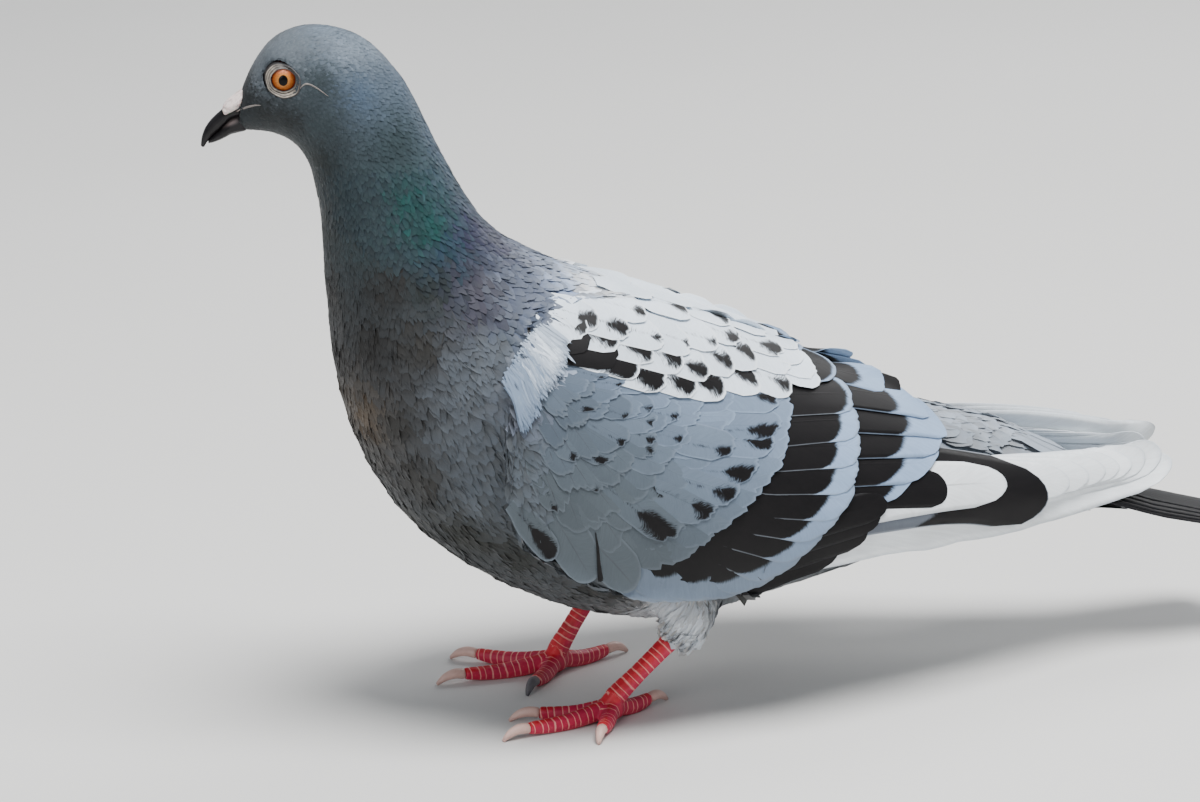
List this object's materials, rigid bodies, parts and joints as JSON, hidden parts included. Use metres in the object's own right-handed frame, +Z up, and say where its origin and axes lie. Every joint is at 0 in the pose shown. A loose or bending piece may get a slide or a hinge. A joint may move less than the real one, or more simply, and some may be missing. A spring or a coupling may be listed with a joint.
{
  "type": "pigeon",
  "caption": "Life-size still pigeon standing with folded wings, long tail, spread toes and its head turned slightly to one side.",
  "frame": {"origin": "on the floor, under the middle of the bird's length and breadth", "axes": "-X is the way the bird faces, +X towards the tip of its tail, -Y its left side, +Z up"},
  "size_m": [0.3218, 0.1028, 0.2057],
  "materials": {
    "head_plumage": "short slate-blue feathers, paler on the crown",
    "neck_plumage": "glossy feathers, green above and purple below",
    "body_plumage": "dark grey breast and belly, pale back, grey rump",
    "wing_feathers": "pale blue-grey with black checks and two black bars, white flight feathers",
    "tail_feathers": "blackish slate with a soft sheen",
    "leg_down": "loose white down",
    "leg_skin": "crimson scaled skin with pale scale edges",
    "claw_horn": "pinkish horn",
    "eye": "wet orange eye with a black pupil",
    "bill_horn": "dark smooth horn",
    "cere_skin": "powdery white skin with a pink tint"
  },
  "bodies": {
    "root": {"head": "head_plumage", "neck": "neck_plumage", "trunk": "body_plumage", "tail": "tail_feathers", "left_wing": "wing_feathers", "right_wing": "wing_feathers", "left_thigh": "leg_down", "right_thigh": "leg_down", "left_shank": "leg_skin", "right_shank": "leg_skin", "left_foot": "leg_skin", "right_foot": "leg_skin", "left_inner_claw": "claw_horn", "left_middle_claw": "claw_horn", "left_outer_claw": "claw_horn", "left_hind_claw": "claw_horn", "right_inner_claw": "claw_horn", "right_middle_claw": "claw_horn", "right_outer_claw": "claw_horn", "right_hind_claw": "claw_horn", "left_eye": "eye", "right_eye": "eye", "upper_bill": "bill_horn", "lower_bill": "bill_horn", "cere": "cere_skin"}
  },
  "joints": []
}
